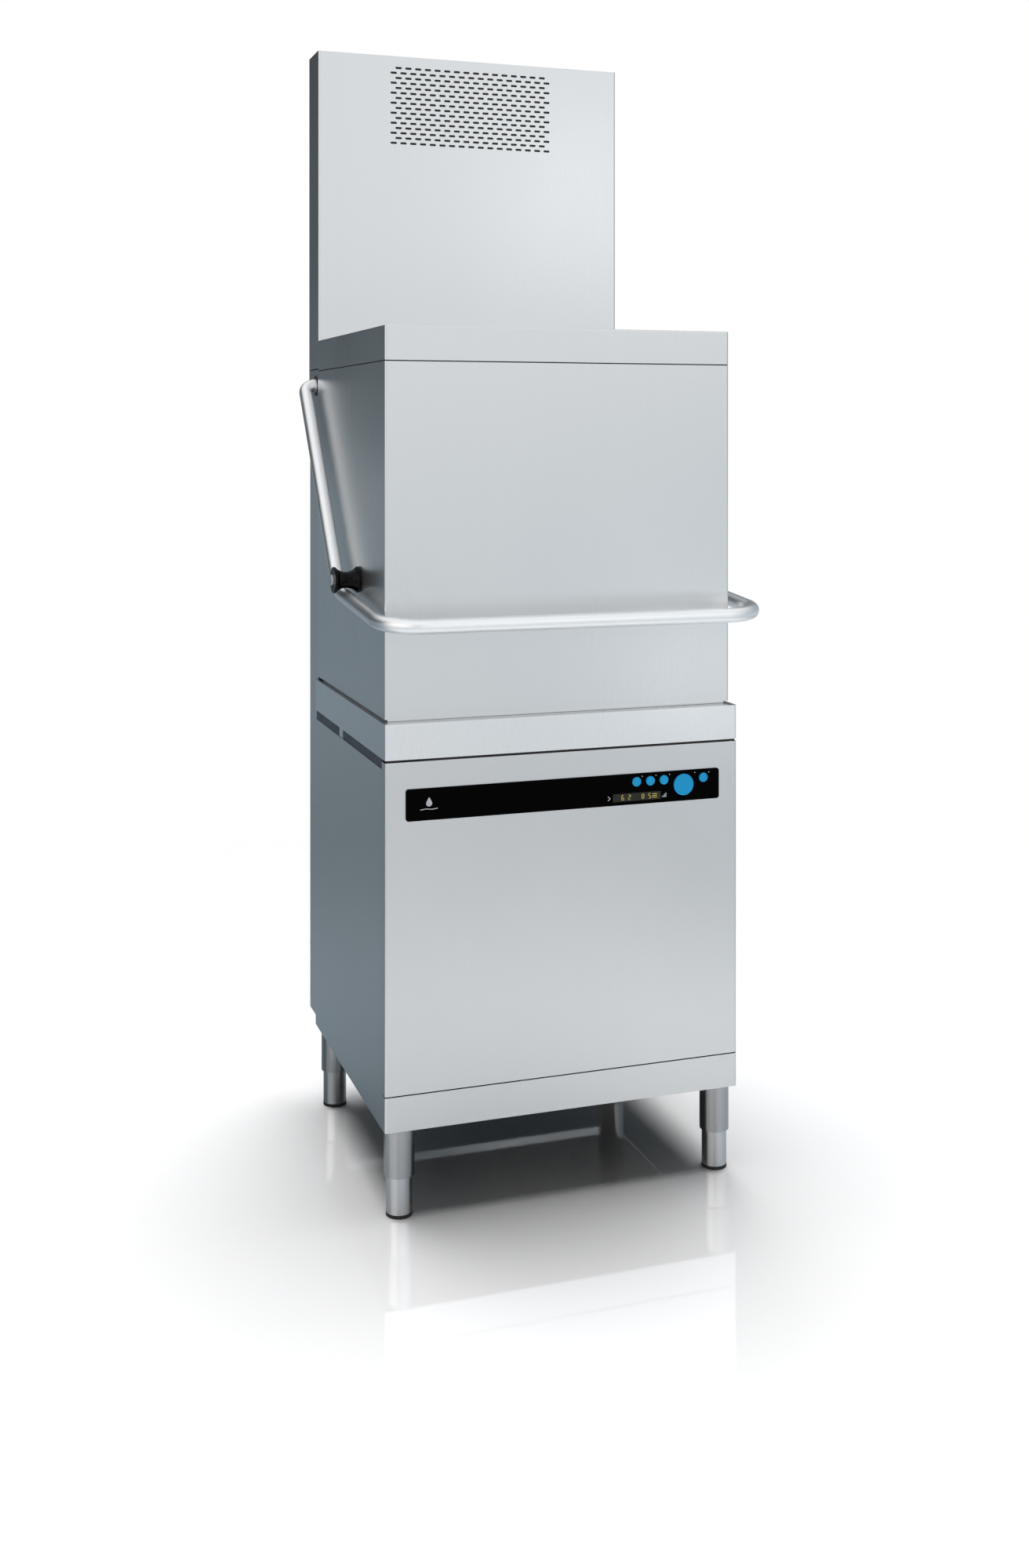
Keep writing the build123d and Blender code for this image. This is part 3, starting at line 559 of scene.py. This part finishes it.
def floor_material():
    """Glossy white that turns into the glowing backdrop away from the machine."""
    mat = new_material("floor_white", FLOOR, 0.0, FLOOR_ROUGHNESS, IOR=FLOOR_IOR)
    tree = mat.node_tree
    nodes, links = tree.nodes, tree.links
    place = nodes.new("ShaderNodeNewGeometry").outputs["Position"]
    length = nodes.new("ShaderNodeVectorMath")
    length.operation = "LENGTH"
    links.new(place, length.inputs[0])
    reach = length.outputs["Value"]
    turn, _ = bearing(tree, place)
    near = ranged(tree, reach, *NEAR_TO_FAR, NEAR_FLOOR, 1.0)
    mirrored = scaled(tree, ring_of_light(tree, turn, GROUND), near)
    in_mirror = nodes.new("ShaderNodeLightPath").outputs["Is Glossy Ray"]
    links.new(pick(tree, in_mirror, FLOOR, mirrored), shader_of(mat).inputs["Base Color"])
    glow = nodes.new("ShaderNodeEmission")
    links.new(pick(tree, in_mirror, LIT, mirrored), glow.inputs["Color"])
    blend = nodes.new("ShaderNodeMixShader")
    links.new(ranged(tree, reach, *FLOOR_TO_BACKDROP), blend.inputs["Fac"])
    links.new(shader_of(mat).outputs[0], blend.inputs[1])
    links.new(glow.outputs[0], blend.inputs[2])
    links.new(blend.outputs[0], nodes["Material Output"].inputs["Surface"])
    return mat


def white_floor():
    mesh = bpy.data.meshes.new("studio_floor")
    ground = bmesh.new()
    bmesh.ops.create_grid(ground, x_segments=2, y_segments=2, size=FLOOR_SIZE)
    ground.to_mesh(mesh)
    ground.free()
    floor = bpy.data.objects.new("studio_floor", mesh)
    bpy.context.collection.objects.link(floor)
    mesh.materials.append(floor_material())


def studio_world():
    """The rings of light for what mirrors, plain light for what doesn't, and white for the camera."""
    world = bpy.data.worlds.new("studio")
    bpy.context.scene.world = world
    world.use_nodes = True
    tree = world.node_tree
    nodes, links = tree.nodes, tree.links
    sky = nodes["Background"]
    aim = nodes.new("ShaderNodeTexCoord").outputs["Generated"]
    path = nodes.new("ShaderNodeLightPath")
    turn, height = bearing(tree, aim)
    horizon = ring_of_light(tree, turn, HORIZON)
    high = ring_of_light(tree, turn, HIGH)
    tone = pick(tree, ranged(tree, height, *HORIZON_TO_HIGH), horizon, high)
    tone = pick(tree, ranged(tree, height, *HIGH_TO_CEILING), tone, CEILING)
    drift = nodes.new("ShaderNodeTexNoise")
    drift.inputs["Scale"].default_value = DRIFT_SCALE
    drift.inputs["Detail"].default_value = 1.0
    links.new(aim, drift.inputs["Vector"])
    tone = scaled(tree, tone, ranged(tree, drift.outputs["Fac"], *DRIFT_SPAN, *DRIFT))
    ambient = pick(tree, ranged(tree, height, *DIM_TO_AMBIENT), DIM, AMBIENT)
    soft = pick(tree, path.outputs["Is Diffuse Ray"], LIT, ambient)
    links.new(pick(tree, path.outputs["Is Glossy Ray"], soft, tone), sky.inputs["Color"])
    sky.inputs["Strength"].default_value = 1.0


def camera():
    data = bpy.data.cameras.new("camera")
    data.lens = LENS
    data.sensor_width = SENSOR
    data.shift_y = SHIFT
    obj = bpy.data.objects.new("camera", data)
    obj.location = CAMERA_PLACE
    obj.rotation_euler = (radians(90), 0, radians(CAMERA_TURN))
    bpy.context.collection.objects.link(obj)
    bpy.context.scene.camera = obj


def overhead_sun():
    """A wide soft sun that makes the shadow; steel doesn't mirror it."""
    light = bpy.data.lights.new("overhead", "SUN")
    light.energy = SUN_STRENGTH
    light.angle = radians(SUN_SPREAD)
    obj = bpy.data.objects.new("overhead", light)
    obj.rotation_euler = tuple(radians(a) for a in SUN_TILT)
    obj.visible_glossy = False
    bpy.context.collection.objects.link(obj)


def light_card(name, place, target, size, power):
    """A small area light, turned towards a point on the machine."""
    light = bpy.data.lights.new(name, "AREA")
    light.shape = "RECTANGLE"
    light.size, light.size_y = size
    light.energy = power
    obj = bpy.data.objects.new(name, light)
    obj.location = place
    aim = Vector(target) - Vector(place)
    obj.rotation_euler = aim.to_track_quat("-Z", "Y").to_euler()
    bpy.context.collection.objects.link(obj)


white_floor()
studio_world()
camera()
overhead_sun()
light_card("card_high", place=(1.34, -2.6, 2.21), target=(0.234, 0.274, 1.776), size=(0.5, 0.5), power=0.5)
light_card("card_low", place=(1.38, -2.6, 0.52), target=(0.268, -0.251, 0.881), size=(0.5, 0.3), power=0.35)
bpy.context.scene.view_settings.view_transform = "Standard"
